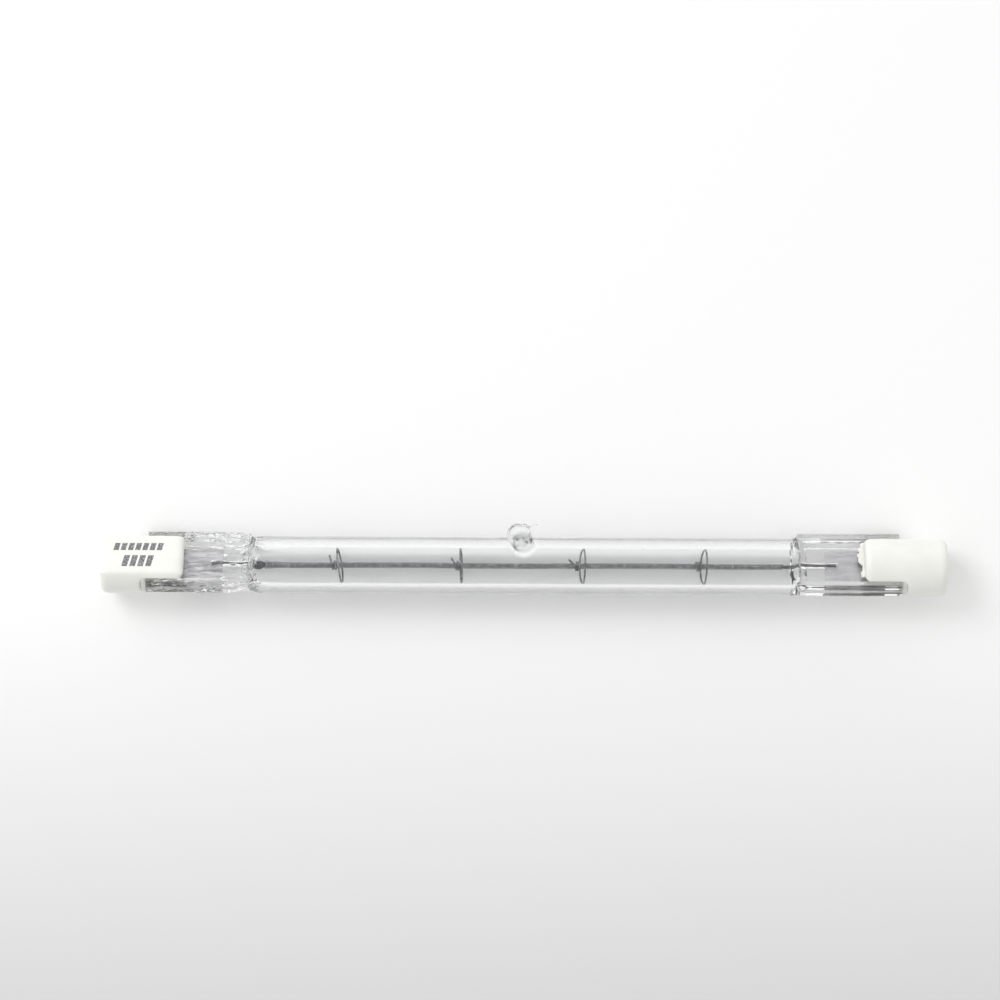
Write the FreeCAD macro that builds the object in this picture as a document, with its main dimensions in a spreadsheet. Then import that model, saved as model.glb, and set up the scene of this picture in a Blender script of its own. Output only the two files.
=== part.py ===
import FreeCAD, Part
import math
import os
import Sketcher
from FreeCAD import Vector

# Double-ended linear halogen lamp, lying on its tube and on the lower edges of its two flattened seals.
# X runs along the lamp, Z is up, and the origin is on the floor under the middle of the tube.
# Every piece is drawn about the lamp's own axis: Y across the seals, Z out of their flat faces.

document = FreeCAD.newDocument("linear_halogen_lamp")
sheet = document.addObject("Spreadsheet::Sheet", "sizes")

SIZES = {
    # Whole lamp, in millimetres
    "overall_length": 117.6,
    # Quartz tube, drawn down at each end into a flat seal with raised edges
    "tube_diameter": 8.0,
    "tube_wall": 1.45,
    "shoulder_length": 1.2,
    "shoulder_side_angle": 19.0,
    "shoulder_corner_angle": 26.0,
    "pinch_length": 14.0,
    "pinch_width": 9.2,
    "pinch_shift": 0.45,
    "pinch_corner_round": 0.3,
    "ridge_thickness": 2.6,
    "ridge_width": 1.5,
    "web_thickness": 1.8,
    "hollow_inset": 0.9,
    "cavity_end_inset": 0.2,
    "cavity_end_diameter": 1.8,
    # Stub of the exhaust tube, sealed off and broken
    "tip_clock": 8.0,
    "tip_shift": -0.3,
    "tip_sink": 0.7,
    "tip_base_diameter": 4.0,
    "tip_neck_diameter": 2.8,
    "tip_neck_height": 1.3,
    "tip_head_diameter": 3.9,
    "tip_head_height": 2.5,
    "tip_head_slope": 0.4,
    "tip_rim_diameter": 3.2,
    "tip_dimple_diameter": 2.0,
    "tip_dimple_depth": 0.6,
    "shard_width": 0.7,
    "shard_height": 1.7,
    "shard_lean": 0.6,
    "shard_thickness": 0.4,
    # Filament and the wire supports that centre it
    "coil_diameter": 0.88,
    "coil_bore": 0.54,
    "coil_end_gap": 2.2,
    "support_wire": 0.25,
    "support_end_gap": 10.7,
    "support_shift": -0.3,
    "support_clearance": 0.02,
    "hub_length": 0.9,
    "ring_clearance": 0.06,
    "ring_sweep": 346.0,
    # Current path through each seal
    "lead_diameter": 0.5,
    "lead_insertion": 2.0,
    "lead_weld": 1.6,
    "channel_gap": 0.2,
    "wire_clearance": 0.02,
    "foil_inset": 3.4,
    "foil_end_inset": 2.2,
    "foil_width": 5.1,
    "foil_thickness": 0.06,
    # Ceramic cap, cemented over the end of each seal
    "cap_length": 11.6,
    "cap_diameter": 8.0,
    "cap_flat_height": 2.5,
    "cap_edge_bevel": 0.6,
    "slot_depth": 6.0,
    "slot_clearance": 0.1,
    "slot_end_round": 0.8,
    "cement_bed": 0.8,
    "cement_overflow": 0.9,
    # Contact button at the floor of the cap's recess
    "recess_diameter": 4.0,
    "recess_depth": 1.7,
    "contact_clearance": 0.02,
    "contact_head_diameter": 3.0,
    "contact_head_thickness": 0.5,
    "contact_shank_diameter": 1.8,
    "contact_shank_length": 2.2,
}

# Each support's turn about the lamp's axis, away from straight up, the tilt of its ring, and its tail
SUPPORT_CLOCKS = {
    "support_clock_1": 66.0,
    "support_clock_2": 40.0,
    "support_clock_3": 188.0,
    "support_clock_4": 197.0,
}
RING_TILTS = {
    "ring_tilt_1": 8.8,
    "ring_tilt_2": 3.0,
    "ring_tilt_3": 8.4,
    "ring_tilt_4": 8.6,
}
TAIL_ANGLES = {
    "tail_angle_1": 18.0,
    "tail_angle_2": 29.0,
    "tail_angle_3": 46.0,
    "tail_angle_4": 10.0,
}
TAIL_LENGTHS = {
    "tail_length_1": 1.45,
    "tail_length_2": 1.25,
    "tail_length_3": 1.3,
    "tail_length_4": 0.7,
}
WIRE_SIDES = 6
FULL_TURN = 360.0


class Size:
    # A length as a formula of the sheet's cells, together with its present value.
    def __init__(self, formula, value):
        self.formula = formula
        self.value = value

    def join(self, other, sign, value):
        return Size(f"({self.formula} {sign} {formula_of(other)})", value)

    def __add__(self, other):
        return self.join(other, "+", self.value + value_of(other))

    def __sub__(self, other):
        return self.join(other, "-", self.value - value_of(other))

    def __mul__(self, other):
        return self.join(other, "*", self.value * value_of(other))

    def __truediv__(self, other):
        return self.join(other, "/", self.value / value_of(other))

    def __neg__(self):
        return Size(f"(-{self.formula})", -self.value)


def formula_of(size):
    return size.formula if isinstance(size, Size) else repr(size)


def value_of(size):
    return size.value if isinstance(size, Size) else size


def fill_sheet():
    cells = {**SIZES, **SUPPORT_CLOCKS, **RING_TILTS, **TAIL_ANGLES, **TAIL_LENGTHS}
    for row, (name, number) in enumerate(cells.items(), start=1):
        sheet.set(f"A{row}", name)
        sheet.set(f"B{row}", str(number))
        sheet.setAlias(f"B{row}", name)
    document.recompute()
    return {name: Size(f"sizes.{name}", sheet.get(name)) for name in cells}


size = fill_sheet()

# Places along the lamp's axis, from its outer end inwards
cap_outer = size["overall_length"] / 2
cap_inner = cap_outer - size["cap_length"]
slot_floor = cap_inner + size["slot_depth"]
pinch_end = slot_floor - size["cement_bed"]
pinch_start = pinch_end - size["pinch_length"]
shoulder_start = pinch_start - size["shoulder_length"]
cavity_end = pinch_start - size["cavity_end_inset"]
coil_end = cavity_end - size["coil_end_gap"]
foil_inner = pinch_start + size["foil_inset"]
foil_outer = pinch_end - size["foil_end_inset"]
recess_floor = cap_outer - size["recess_depth"]
head_seat = recess_floor - size["contact_head_thickness"]
shank_end = head_seat - size["contact_shank_length"]

# Radii and half widths about the lamp's axis
tube_radius = size["tube_diameter"] / 2
bore_radius = tube_radius - size["tube_wall"]
web_half = size["web_thickness"] / 2
ridge_half = size["ridge_thickness"] / 2
pinch_back = size["pinch_width"] / 2 + size["pinch_shift"]
pinch_front = pinch_back - size["pinch_width"]
hollow_back = pinch_back - size["ridge_width"]
hollow_front = pinch_front + size["ridge_width"]
slot_half = ridge_half + size["slot_clearance"]
lead_radius = size["lead_diameter"] / 2
lead_hole = lead_radius + size["wire_clearance"]
head_radius = size["contact_head_diameter"] / 2
shank_radius = size["contact_shank_diameter"] / 2
wire_radius = size["support_wire"] / 2
hub_radius = size["coil_diameter"] / 2 + size["support_clearance"] + wire_radius
ring_radius = bore_radius - size["ring_clearance"] - wire_radius

# The lamp rests on its widest round part and rolls until the lower edge of each seal meets the floor.
REST_HEIGHT = "max(sizes.tube_diameter; sizes.cap_diameter) / 2"
CORNER_ACROSS = "(sizes.pinch_width / 2 + sizes.pinch_shift - sizes.pinch_corner_round)"
CORNER_OUT = "(sizes.ridge_thickness / 2 - sizes.pinch_corner_round)"
CORNER_REACH = f"hypot({CORNER_ACROSS}; {CORNER_OUT})"
CORNER_DROP = f"min(1; ({REST_HEIGHT} - sizes.pinch_corner_round) / {CORNER_REACH})"
REST_ROLL = f"asin({CORNER_DROP}) - atan({CORNER_OUT} / {CORNER_ACROSS})"
REST_TURN = f"rotation(vector(-1; 0; 0); {REST_ROLL})"
END_FOR_END = "rotation(vector(0; 1; 0); 180)"
ENDS = {"left": f"{REST_TURN} * {END_FOR_END}", "right": REST_TURN}

# Both foils lie on the same face of the lamp, so the left one keeps its face up.
SAME_FACE = "rotation(vector(0; 0; 1); 180)"
FOIL_ENDS = {"left": f"{REST_TURN} * {SAME_FACE}", "right": REST_TURN}


def new_body(label):
    body = document.addObject("PartDesign::Body", label)
    body.Label = label
    return body


def place(body, turn, along=0.0):
    station = f"vector({formula_of(along)}; 0; {REST_HEIGHT})"
    body.setExpression("Placement", f"placement({station}; {turn})")


def origin_feature(body, role):
    return next(item for item in body.Origin.OriginFeatures if item.Role == role)


def new_sketch(body, plane, name, height=0.0):
    sketch = body.newObject("Sketcher::SketchObject", name)
    sketch.AttachmentSupport = [(origin_feature(body, plane), "")]
    sketch.MapMode = "FlatFace"
    if isinstance(height, Size):
        sketch.setExpression("AttachmentOffset.Base.z", height.formula)
    return sketch


def bind(sketch, constraint, dimension):
    index = sketch.addConstraint(constraint)
    if isinstance(dimension, Size):
        sketch.setExpression(f"Constraints[{index}]", dimension.formula)


def fix_point(sketch, geometry, position, x, y):
    if value_of(x) == 0:
        sketch.addConstraint(Sketcher.Constraint("PointOnObject", geometry, position, -2))
    else:
        bind(sketch, Sketcher.Constraint("DistanceX", -1, 1, geometry, position, value_of(x)), x)
    if value_of(y) == 0:
        sketch.addConstraint(Sketcher.Constraint("PointOnObject", geometry, position, -1))
    else:
        bind(sketch, Sketcher.Constraint("DistanceY", -1, 1, geometry, position, value_of(y)), y)


def circle(sketch, x, y, radius):
    middle = Vector(value_of(x), value_of(y), 0)
    ring = sketch.addGeometry(Part.Circle(middle, Vector(0, 0, 1), value_of(radius)))
    fix_point(sketch, ring, 3, x, y)
    bind(sketch, Sketcher.Constraint("Radius", ring, value_of(radius)), radius)


def corner_arc(before, corner, after, radius):
    # Round a corner: the arc that leaves one straight side and joins the next.
    back = (before - corner).normalize()
    ahead = (after - corner).normalize()
    half_angle = back.getAngle(ahead) / 2
    reach = radius / math.tan(half_angle)
    middle = corner + (back + ahead).normalize() * (radius / math.sin(half_angle))
    leave = corner + back * reach
    join = corner + ahead * reach
    left_turn = back.cross(ahead).z < 0
    first, last = (leave, join) if left_turn else (join, leave)
    start = math.atan2(first.y - middle.y, first.x - middle.x)
    stop = math.atan2(last.y - middle.y, last.x - middle.x)
    arc = Part.ArcOfCircle(Part.Circle(middle, Vector(0, 0, 1), radius), start, stop)
    return arc, leave, join, left_turn


def outline(sketch, corners):
    # Close straight sides through the corners, (x, y) or (x, y, radius of the rounded corner).
    points = [Vector(value_of(corner[0]), value_of(corner[1]), 0) for corner in corners]
    count = len(corners)
    leaves = list(points)
    joins = list(points)
    arcs = {}
    for index, corner in enumerate(corners):
        if len(corner) == 3:
            radius = value_of(corner[2])
            made = corner_arc(points[index - 1], points[index], points[(index + 1) % count], radius)
            arc, leaves[index], joins[index], left_turn = made
            arcs[index] = (sketch.addGeometry(arc), left_turn)
    sides = []
    for index in range(count):
        segment = Part.LineSegment(joins[index], leaves[(index + 1) % count])
        sides.append(sketch.addGeometry(segment))
    for index, corner in enumerate(corners):
        if index in arcs:
            arc, left_turn = arcs[index]
            mark = sketch.addGeometry(Part.Point(points[index]), True)
            fix_point(sketch, mark, 1, corner[0], corner[1])
            arrive, depart = (1, 2) if left_turn else (2, 1)
            sketch.addConstraint(Sketcher.Constraint("PointOnObject", mark, 1, sides[index - 1]))
            sketch.addConstraint(Sketcher.Constraint("PointOnObject", mark, 1, sides[index]))
            sketch.addConstraint(Sketcher.Constraint("Tangent", sides[index - 1], 2, arc, arrive))
            sketch.addConstraint(Sketcher.Constraint("Tangent", arc, depart, sides[index], 1))
            bind(sketch, Sketcher.Constraint("Radius", arc, value_of(corner[2])), corner[2])
        else:
            sketch.addConstraint(Sketcher.Constraint("Coincident", sides[index - 1], 2, sides[index], 1))
            fix_point(sketch, sides[index], 1, corner[0], corner[1])


def divided_circle(sketch, radius, side_angle, corner_angle):
    # A circle in eight arcs, one for each side and each rounded corner of the section it blends into.
    rise = [(1, side_angle, 0), (1, corner_angle, 0), (1, corner_angle, 1), (1, side_angle, 1)]
    rise += [(-1, side_angle, 1), (-1, corner_angle, 1), (-1, corner_angle, 0), (-1, side_angle, 0)]
    angles = []
    heights = []
    for up, angle, beyond in rise:
        turn = math.pi - math.radians(angle.value) if beyond else math.radians(angle.value)
        angles.append(up * turn)
        height = radius.value * math.sin(up * turn)
        heights.append(Size(f"({up} * {radius.formula} * sin({angle.formula}))", height))
    rim = Part.Circle(Vector(), Vector(0, 0, 1), radius.value)
    count = len(angles)
    arcs = []
    for index in range(count):
        arcs.append(sketch.addGeometry(Part.ArcOfCircle(rim, angles[index], angles[(index + 1) % count])))
    for index, arc in enumerate(arcs):
        joint = "Horizontal" if index == 0 else "Coincident"
        sketch.addConstraint(Sketcher.Constraint("Coincident", arc, 3, -1, 1))
        sketch.addConstraint(Sketcher.Constraint(joint, arcs[index - 1], 2, arc, 1))
        height = heights[index]
        bind(sketch, Sketcher.Constraint("DistanceY", -1, 1, arc, 1, height.value), height)
    bind(sketch, Sketcher.Constraint("Radius", arcs[0], radius.value), radius)


def pinch_outline(sketch):
    # The seal's full section; it was pressed a little off the tube's axis.
    radius = size["pinch_corner_round"]
    outline(sketch, [
        (pinch_back, -ridge_half, radius),
        (pinch_back, ridge_half, radius),
        (pinch_front, ridge_half, radius),
        (pinch_front, -ridge_half, radius),
    ])


def extrude(body, kind, sketch, length, both_ways=False, backwards=False):
    feature = body.newObject(f"PartDesign::{kind}", f"{sketch.Name}_{kind.lower()}")
    feature.Profile = sketch
    feature.setExpression("Length", formula_of(length))
    feature.Midplane = both_ways
    feature.Reversed = backwards
    document.recompute()
    return feature


def revolve(body, kind, sketch, axis, angle=FULL_TURN):
    feature = body.newObject(f"PartDesign::{kind}", f"{sketch.Name}_{kind.lower()}")
    feature.Profile = sketch
    feature.ReferenceAxis = axis
    feature.Angle = value_of(angle)
    if isinstance(angle, Size):
        feature.setExpression("Angle", angle.formula)
    document.recompute()
    return feature


def loft(body, kind, first, last):
    feature = body.newObject(f"PartDesign::{kind}", f"{first.Name}_{kind.lower()}")
    feature.Profile = first
    feature.Sections = [last]
    document.recompute()
    return feature


def make_envelope():
    # One length of quartz tube: round in the middle, pressed flat at both ends, with a sealed-off stub.
    body = new_body("quartz_envelope")
    tube = new_sketch(body, "YZ_Plane", "tube")
    circle(tube, 0, 0, tube_radius)
    extrude(body, "Pad", tube, shoulder_start * 2, both_ways=True)
    bore = new_sketch(body, "YZ_Plane", "bore")
    circle(bore, 0, 0, bore_radius)
    extrude(body, "Pocket", bore, shoulder_start * 2, both_ways=True)

    round_end = new_sketch(body, "YZ_Plane", "shoulder", shoulder_start)
    divided_circle(round_end, tube_radius, size["shoulder_side_angle"], size["shoulder_corner_angle"])
    flat_end = new_sketch(body, "YZ_Plane", "shoulder_flat", pinch_start)
    pinch_outline(flat_end)
    shoulder = loft(body, "AdditiveLoft", round_end, flat_end)
    pinch_section = new_sketch(body, "YZ_Plane", "pinch", pinch_start)
    pinch_outline(pinch_section)
    pinch = extrude(body, "Pad", pinch_section, size["pinch_length"])
    hollow_section = new_sketch(body, "YZ_Plane", "hollow", pinch_start + size["hollow_inset"])
    for near, far in ((web_half, ridge_half), (-ridge_half, -web_half)):
        outline(hollow_section, [
            (hollow_front, near), (hollow_back, near), (hollow_back, far), (hollow_front, far),
        ])
    hollow_length = size["pinch_length"] - size["hollow_inset"]
    hollow = extrude(body, "Pocket", hollow_section, hollow_length, backwards=True)

    taper = new_sketch(body, "XZ_Plane", "cavity_end")
    outline(taper, [
        (shoulder_start, 0),
        (cavity_end, 0),
        (cavity_end, size["cavity_end_diameter"] / 2),
        (shoulder_start, bore_radius),
    ])
    cavity = revolve(body, "Groove", taper, (origin_feature(body, "X_Axis"), [""]))
    channel = new_sketch(body, "YZ_Plane", "lead_channel", coil_end)
    circle(channel, 0, 0, lead_radius + size["channel_gap"])
    channel_end = foil_inner + size["lead_weld"] + size["channel_gap"]
    lead_channel = extrude(body, "Pocket", channel, channel_end - coil_end, backwards=True)
    exit_hole = new_sketch(body, "YZ_Plane", "lead_exit", pinch_end)
    circle(exit_hole, 0, 0, lead_hole)
    exit_depth = pinch_end - foil_outer + size["lead_weld"]
    lead_exit = extrude(body, "Pocket", exit_hole, exit_depth)

    other_end = body.newObject("PartDesign::PolarPattern", "other_end")
    other_end.Originals = [shoulder, pinch, hollow, cavity, lead_channel, lead_exit]
    other_end.Axis = (origin_feature(body, "Y_Axis"), [""])
    other_end.Angle = FULL_TURN
    other_end.Occurrences = 2
    body.Tip = other_end
    document.recompute()
    extrude(body, "Pocket", foil_outline(body, 1, -1), size["foil_thickness"])
    make_tip(body)
    place(body, REST_TURN)
    return body


def tip_sketch(body, name):
    # The stub's own plane holds the lamp's axis and leans a little from the seals' flat faces.
    sketch = new_sketch(body, "XZ_Plane", name)
    aside = "vector(sizes.tip_shift; 0; 0)"
    lean = "rotation(vector(-1; 0; 0); sizes.tip_clock)"
    sketch.setExpression("AttachmentOffset", f"placement({aside}; {lean})")
    return sketch


def make_tip(body):
    base = tube_radius - size["tip_sink"]
    neck = size["tip_neck_diameter"] / 2
    neck_top = tube_radius + size["tip_neck_height"]
    head = size["tip_head_diameter"] / 2
    head_top = tube_radius + size["tip_head_height"]
    slope = size["tip_head_slope"]
    stub = tip_sketch(body, "stub")
    outline(stub, [
        (0, base),
        (size["tip_base_diameter"] / 2, base),
        (neck, tube_radius + slope),
        (neck, neck_top),
        (head, neck_top + slope),
        (head, head_top - slope),
        (size["tip_rim_diameter"] / 2, head_top),
        (size["tip_dimple_diameter"] / 2, head_top),
        (0, head_top - size["tip_dimple_depth"]),
    ])
    revolve(body, "Revolution", stub, (stub, ["V_Axis"]))
    shard = tip_sketch(body, "shard")
    shard_foot = head_top - slope
    outline(shard, [
        (head - size["shard_width"], shard_foot),
        (head, shard_foot),
        (head + size["shard_lean"], head_top + size["shard_height"]),
    ])
    extrude(body, "Pad", shard, size["shard_thickness"], both_ways=True)


def foil_outline(body, *sides):
    # A foil lies against the underside of the two wires that are welded to it; a side is 1 or -1 along X.
    sketch = new_sketch(body, "XY_Plane", "foil", -lead_radius)
    half = size["foil_width"] / 2
    for side in sides:
        near = foil_inner * side
        far = foil_outer * side
        outline(sketch, [(near, -half), (far, -half), (far, half), (near, half)])
    return sketch


def make_filament():
    # The wound filament as a sleeve of its outer and inner diameter.
    body = new_body("filament_coil")
    section = new_sketch(body, "YZ_Plane", "winding")
    circle(section, 0, 0, size["coil_diameter"] / 2)
    circle(section, 0, 0, size["coil_bore"] / 2)
    extrude(body, "Pad", section, coil_end * 2, both_ways=True)
    place(body, REST_TURN)
    return body


def wire_section(sketch, x, y):
    corners = []
    for side in range(WIRE_SIDES):
        angle = math.pi * (2 * side + 1) / WIRE_SIDES
        corners.append((x + wire_radius * math.cos(angle), y + wire_radius * math.sin(angle)))
    outline(sketch, corners)


def make_support(number):
    # One bent wire: a free tail, close turns about the filament, a spoke, and a tilted ring in the bore.
    body = new_body(f"filament_support_{number}")
    tilt = size[f"ring_tilt_{number}"]
    lean = math.radians(tilt.value)
    ring_out = Size(f"({ring_radius.formula} * cos({tilt.formula}))", ring_radius.value * math.cos(lean))
    ring_back = Size(f"({ring_radius.formula} * sin({tilt.formula}))", ring_radius.value * math.sin(lean))
    hub_end = wire_radius - ring_back
    hub_start = hub_end - size["hub_length"]
    hub = new_sketch(body, "XZ_Plane", "hub")
    outline(hub, [
        (hub_start, hub_radius - wire_radius),
        (hub_end, hub_radius - wire_radius),
        (hub_end, hub_radius + wire_radius),
        (hub_start, hub_radius + wire_radius),
    ])
    revolve(body, "Revolution", hub, (origin_feature(body, "X_Axis"), [""]))
    spoke = new_sketch(body, "XY_Plane", "spoke", hub_radius)
    wire_section(spoke, -ring_back, Size("0", 0.0))
    extrude(body, "Pad", spoke, ring_out - hub_radius)
    ring = new_sketch(body, "XZ_Plane", "ring")
    wire_section(ring, -ring_back, ring_out)
    axis = sketch_axis(ring, tilt)
    revolve(body, "Revolution", ring, (ring, [axis]), size["ring_sweep"])
    tail = new_sketch(body, "XZ_Plane", "tail")
    tail_start = f"vector({(hub_start + wire_radius).formula}; 0; 0)"
    over_the_top = f"rotation(vector(1; 0; 0); sizes.support_clock_{number})"
    swung_out = f"rotation(vector(0; 1; 0); sizes.tail_angle_{number})"
    tail.setExpression("AttachmentOffset", f"placement({tail_start}; {over_the_top} * {swung_out})")
    wire_section(tail, Size("0", 0.0), hub_radius)
    extrude(body, "Pad", tail, size[f"tail_length_{number}"], backwards=True)

    gaps = len(RING_TILTS) - 1
    spacing = (coil_end - size["support_end_gap"]) * 2 / gaps
    station = size["support_shift"] + spacing * (number - 1 - gaps / 2)
    place(body, f"rotation(vector(-1; 0; 0); sizes.support_clock_{number})", station)
    return body


def sketch_axis(sketch, tilt):
    # A construction line through the middle of the ring, tilted from the lamp's axis.
    lean = math.radians(tilt.value)
    line = Part.LineSegment(Vector(), Vector(math.cos(lean), math.sin(lean), 0))
    index = sketch.addGeometry(line, True)
    sketch.addConstraint(Sketcher.Constraint("Coincident", index, 1, -1, 1))
    bind(sketch, Sketcher.Constraint("Angle", -1, 1, index, 1, lean), tilt)
    bind(sketch, Sketcher.Constraint("Distance", index, wire_radius.value), wire_radius)
    return "Axis0"


def make_wire(label, turn, start, stop):
    body = new_body(label)
    section = new_sketch(body, "YZ_Plane", "wire", start)
    circle(section, 0, 0, lead_radius)
    extrude(body, "Pad", section, stop - start)
    place(body, turn)
    return body


def make_foil(side):
    body = new_body(f"seal_foil_{side}")
    extrude(body, "Pad", foil_outline(body, 1), size["foil_thickness"], backwards=True)
    place(body, FOIL_ENDS[side])
    return body


def make_cap(side, turn):
    # Round steatite cap with one flat: slotted for the seal, hollowed at its end for the contact.
    body = new_body(f"ceramic_cap_{side}")
    section = new_sketch(body, "YZ_Plane", "cap", cap_inner)
    flat_section(section, size["cap_diameter"] / 2, size["cap_flat_height"])
    block = extrude(body, "Pad", section, size["cap_length"])
    edges = body.newObject("PartDesign::Chamfer", "cap_edges")
    edges.Base = (block, [f"Edge{index + 1}" for index in range(len(block.Shape.Edges))])
    edges.setExpression("Size", size["cap_edge_bevel"].formula)
    document.recompute()
    slot = new_sketch(body, "XZ_Plane", "slot")
    outline(slot, [
        (pinch_start, -slot_half),
        (slot_floor, -slot_half, size["slot_end_round"]),
        (slot_floor, slot_half, size["slot_end_round"]),
        (pinch_start, slot_half),
    ])
    extrude(body, "Pocket", slot, size["cap_diameter"], both_ways=True)
    recess = new_sketch(body, "XZ_Plane", "recess")
    clear = size["contact_clearance"]
    outline(recess, [
        (pinch_end, 0),
        (cap_outer, 0),
        (cap_outer, size["recess_diameter"] / 2),
        (recess_floor, size["recess_diameter"] / 2),
        (recess_floor, head_radius + clear),
        (head_seat, head_radius + clear),
        (head_seat, shank_radius + clear),
        (shank_end, shank_radius + clear),
        (shank_end, lead_hole),
        (pinch_end, lead_hole),
    ])
    revolve(body, "Groove", recess, (origin_feature(body, "X_Axis"), [""]))
    place(body, turn)
    return body


def flat_section(sketch, radius, flat):
    # A circle cut off by one flat below its middle.
    half_chord = math.sqrt(radius.value ** 2 - flat.value ** 2)
    start = math.atan2(-flat.value, half_chord)
    stop = math.atan2(-flat.value, -half_chord)
    rim = Part.ArcOfCircle(Part.Circle(Vector(), Vector(0, 0, 1), radius.value), start, stop)
    arc = sketch.addGeometry(rim)
    ends = Vector(-half_chord, -flat.value, 0), Vector(half_chord, -flat.value, 0)
    chord = sketch.addGeometry(Part.LineSegment(*ends))
    sketch.addConstraint(Sketcher.Constraint("Coincident", arc, 3, -1, 1))
    sketch.addConstraint(Sketcher.Constraint("Coincident", arc, 2, chord, 1))
    sketch.addConstraint(Sketcher.Constraint("Coincident", chord, 2, arc, 1))
    sketch.addConstraint(Sketcher.Constraint("Horizontal", chord))
    bind(sketch, Sketcher.Constraint("Radius", arc, radius.value), radius)
    bind(sketch, Sketcher.Constraint("DistanceY", -1, 1, chord, 1, -flat.value), -flat)


def make_cement(side, turn):
    # White cement between the seal's hollows and the cap's slot, squeezed out a little at the mouth.
    body = new_body(f"cement_{side}")
    lip = cap_inner - size["cement_overflow"]
    section = new_sketch(body, "XZ_Plane", "bed", -size["pinch_shift"])
    outline(section, [
        (cap_inner, -slot_half),
        (slot_floor, -slot_half, size["slot_end_round"]),
        (slot_floor, slot_half, size["slot_end_round"]),
        (cap_inner, slot_half),
        (lip, web_half),
        (pinch_end, web_half),
        (pinch_end, -web_half),
        (lip, -web_half),
    ])
    extrude(body, "Pad", section, hollow_back - hollow_front, both_ways=True)
    hole = new_sketch(body, "YZ_Plane", "lead_hole", slot_floor)
    circle(hole, 0, 0, lead_hole)
    extrude(body, "Pocket", hole, size["cement_bed"])
    place(body, turn)
    return body


def make_contact(side, turn):
    # Turned contact button: its head fills the recess floor and its shank meets the lead wire.
    body = new_body(f"contact_{side}")
    section = new_sketch(body, "XZ_Plane", "button")
    outline(section, [
        (shank_end, 0),
        (recess_floor, 0),
        (recess_floor, head_radius),
        (head_seat, head_radius),
        (head_seat, shank_radius),
        (shank_end, shank_radius),
    ])
    revolve(body, "Revolution", section, (origin_feature(body, "X_Axis"), [""]))
    place(body, turn)
    return body


def make_lamp():
    bodies = [make_envelope(), make_filament()]
    for number in range(1, len(RING_TILTS) + 1):
        bodies.append(make_support(number))
    inner_start = coil_end - size["lead_insertion"]
    inner_stop = foil_inner + size["lead_weld"]
    outer_start = foil_outer - size["lead_weld"]
    for side, turn in ENDS.items():
        bodies.append(make_wire(f"inner_lead_{side}", turn, inner_start, inner_stop))
        bodies.append(make_foil(side))
        bodies.append(make_wire(f"outer_lead_{side}", turn, outer_start, shank_end))
        bodies.append(make_cap(side, turn))
        bodies.append(make_cement(side, turn))
        bodies.append(make_contact(side, turn))
    document.recompute()
    return bodies


def check(bodies):
    for item in document.Objects:
        if "Invalid" in item.State or "Error" in item.State:
            raise RuntimeError(f"{item.Name} in {item.State} did not come out")
    for body in bodies:
        shape = body.Shape
        if shape.isNull() or not shape.isValid() or len(shape.Solids) != 1:
            raise RuntimeError(f"{body.Label} is not one sound solid")


def write(bodies):
    os.makedirs("parts", exist_ok=True)
    for body in bodies:
        body.Shape.exportStep(f"parts/{body.Label}.step")
        print(body.Label, round(body.Shape.Volume, 3))


lamp = make_lamp()
check(lamp)
write(lamp)
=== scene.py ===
import math

import bmesh
import bpy
from mathutils import Matrix, Vector, noise


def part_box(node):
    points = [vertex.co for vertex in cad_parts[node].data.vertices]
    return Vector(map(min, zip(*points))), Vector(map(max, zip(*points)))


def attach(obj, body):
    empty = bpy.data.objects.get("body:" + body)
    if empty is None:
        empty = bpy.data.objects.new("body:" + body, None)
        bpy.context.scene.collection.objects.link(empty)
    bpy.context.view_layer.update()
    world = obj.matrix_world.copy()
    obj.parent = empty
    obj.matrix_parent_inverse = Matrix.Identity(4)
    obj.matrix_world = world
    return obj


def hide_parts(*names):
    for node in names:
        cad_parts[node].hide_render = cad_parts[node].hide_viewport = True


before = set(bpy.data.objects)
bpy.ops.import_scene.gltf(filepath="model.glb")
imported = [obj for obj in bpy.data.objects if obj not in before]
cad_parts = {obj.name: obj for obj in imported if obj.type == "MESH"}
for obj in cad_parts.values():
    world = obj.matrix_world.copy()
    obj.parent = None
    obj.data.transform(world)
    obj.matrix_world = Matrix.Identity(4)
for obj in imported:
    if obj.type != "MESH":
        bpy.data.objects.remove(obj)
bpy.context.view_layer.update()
millimetre = 0.001
mergeGap = 0.0005  # doubles closer than this are one point
print("frame loaded:", len(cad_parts), "nodes")

scene = bpy.context.scene
scene.view_settings.view_transform = "Standard"
scene.cycles.max_bounces = 24  # light crosses many walls of clear glass
scene.cycles.transmission_bounces = 24
scene.cycles.glossy_bounces = 24
scene.cycles.diffuse_bounces = 12


def nodeBox(node):
    low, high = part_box(node)
    return low / millimetre, high / millimetre  # lengths below are in millimetres


coilLow, coilHigh = nodeBox("filament_coil")
lamp = {
    "axisHeight": (coilLow.z + coilHigh.z) / 2,
    "coilEnd": coilHigh.x,
    "coilRadius": (coilHigh.z - coilLow.z) / 2,
    "pinchEnd": nodeBox("quartz_envelope")[1].x,
    "capInner": nodeBox("ceramic_cap_right")[0].x,
    "capOuter": nodeBox("ceramic_cap_right")[1].x,
}
seal = {
    "length": 14.0,
    "halfWidth": 4.6,
    "shift": 0.45,  # pressed a little off the tube's axis
    "ridgeHalf": 1.3,  # half of the full thickness, at the raised edges
    "webHalf": 0.9,
    "hollowHalf": 3.1,
    "cornerRound": 0.3,
}


def restRoll():
    across = seal["halfWidth"] + seal["shift"] - seal["cornerRound"]
    out = seal["ridgeHalf"] - seal["cornerRound"]
    drop = (lamp["axisHeight"] - seal["cornerRound"]) / math.hypot(across, out)
    return math.asin(drop) - math.atan2(out, across)  # the lower seal edges meet the floor


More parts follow.
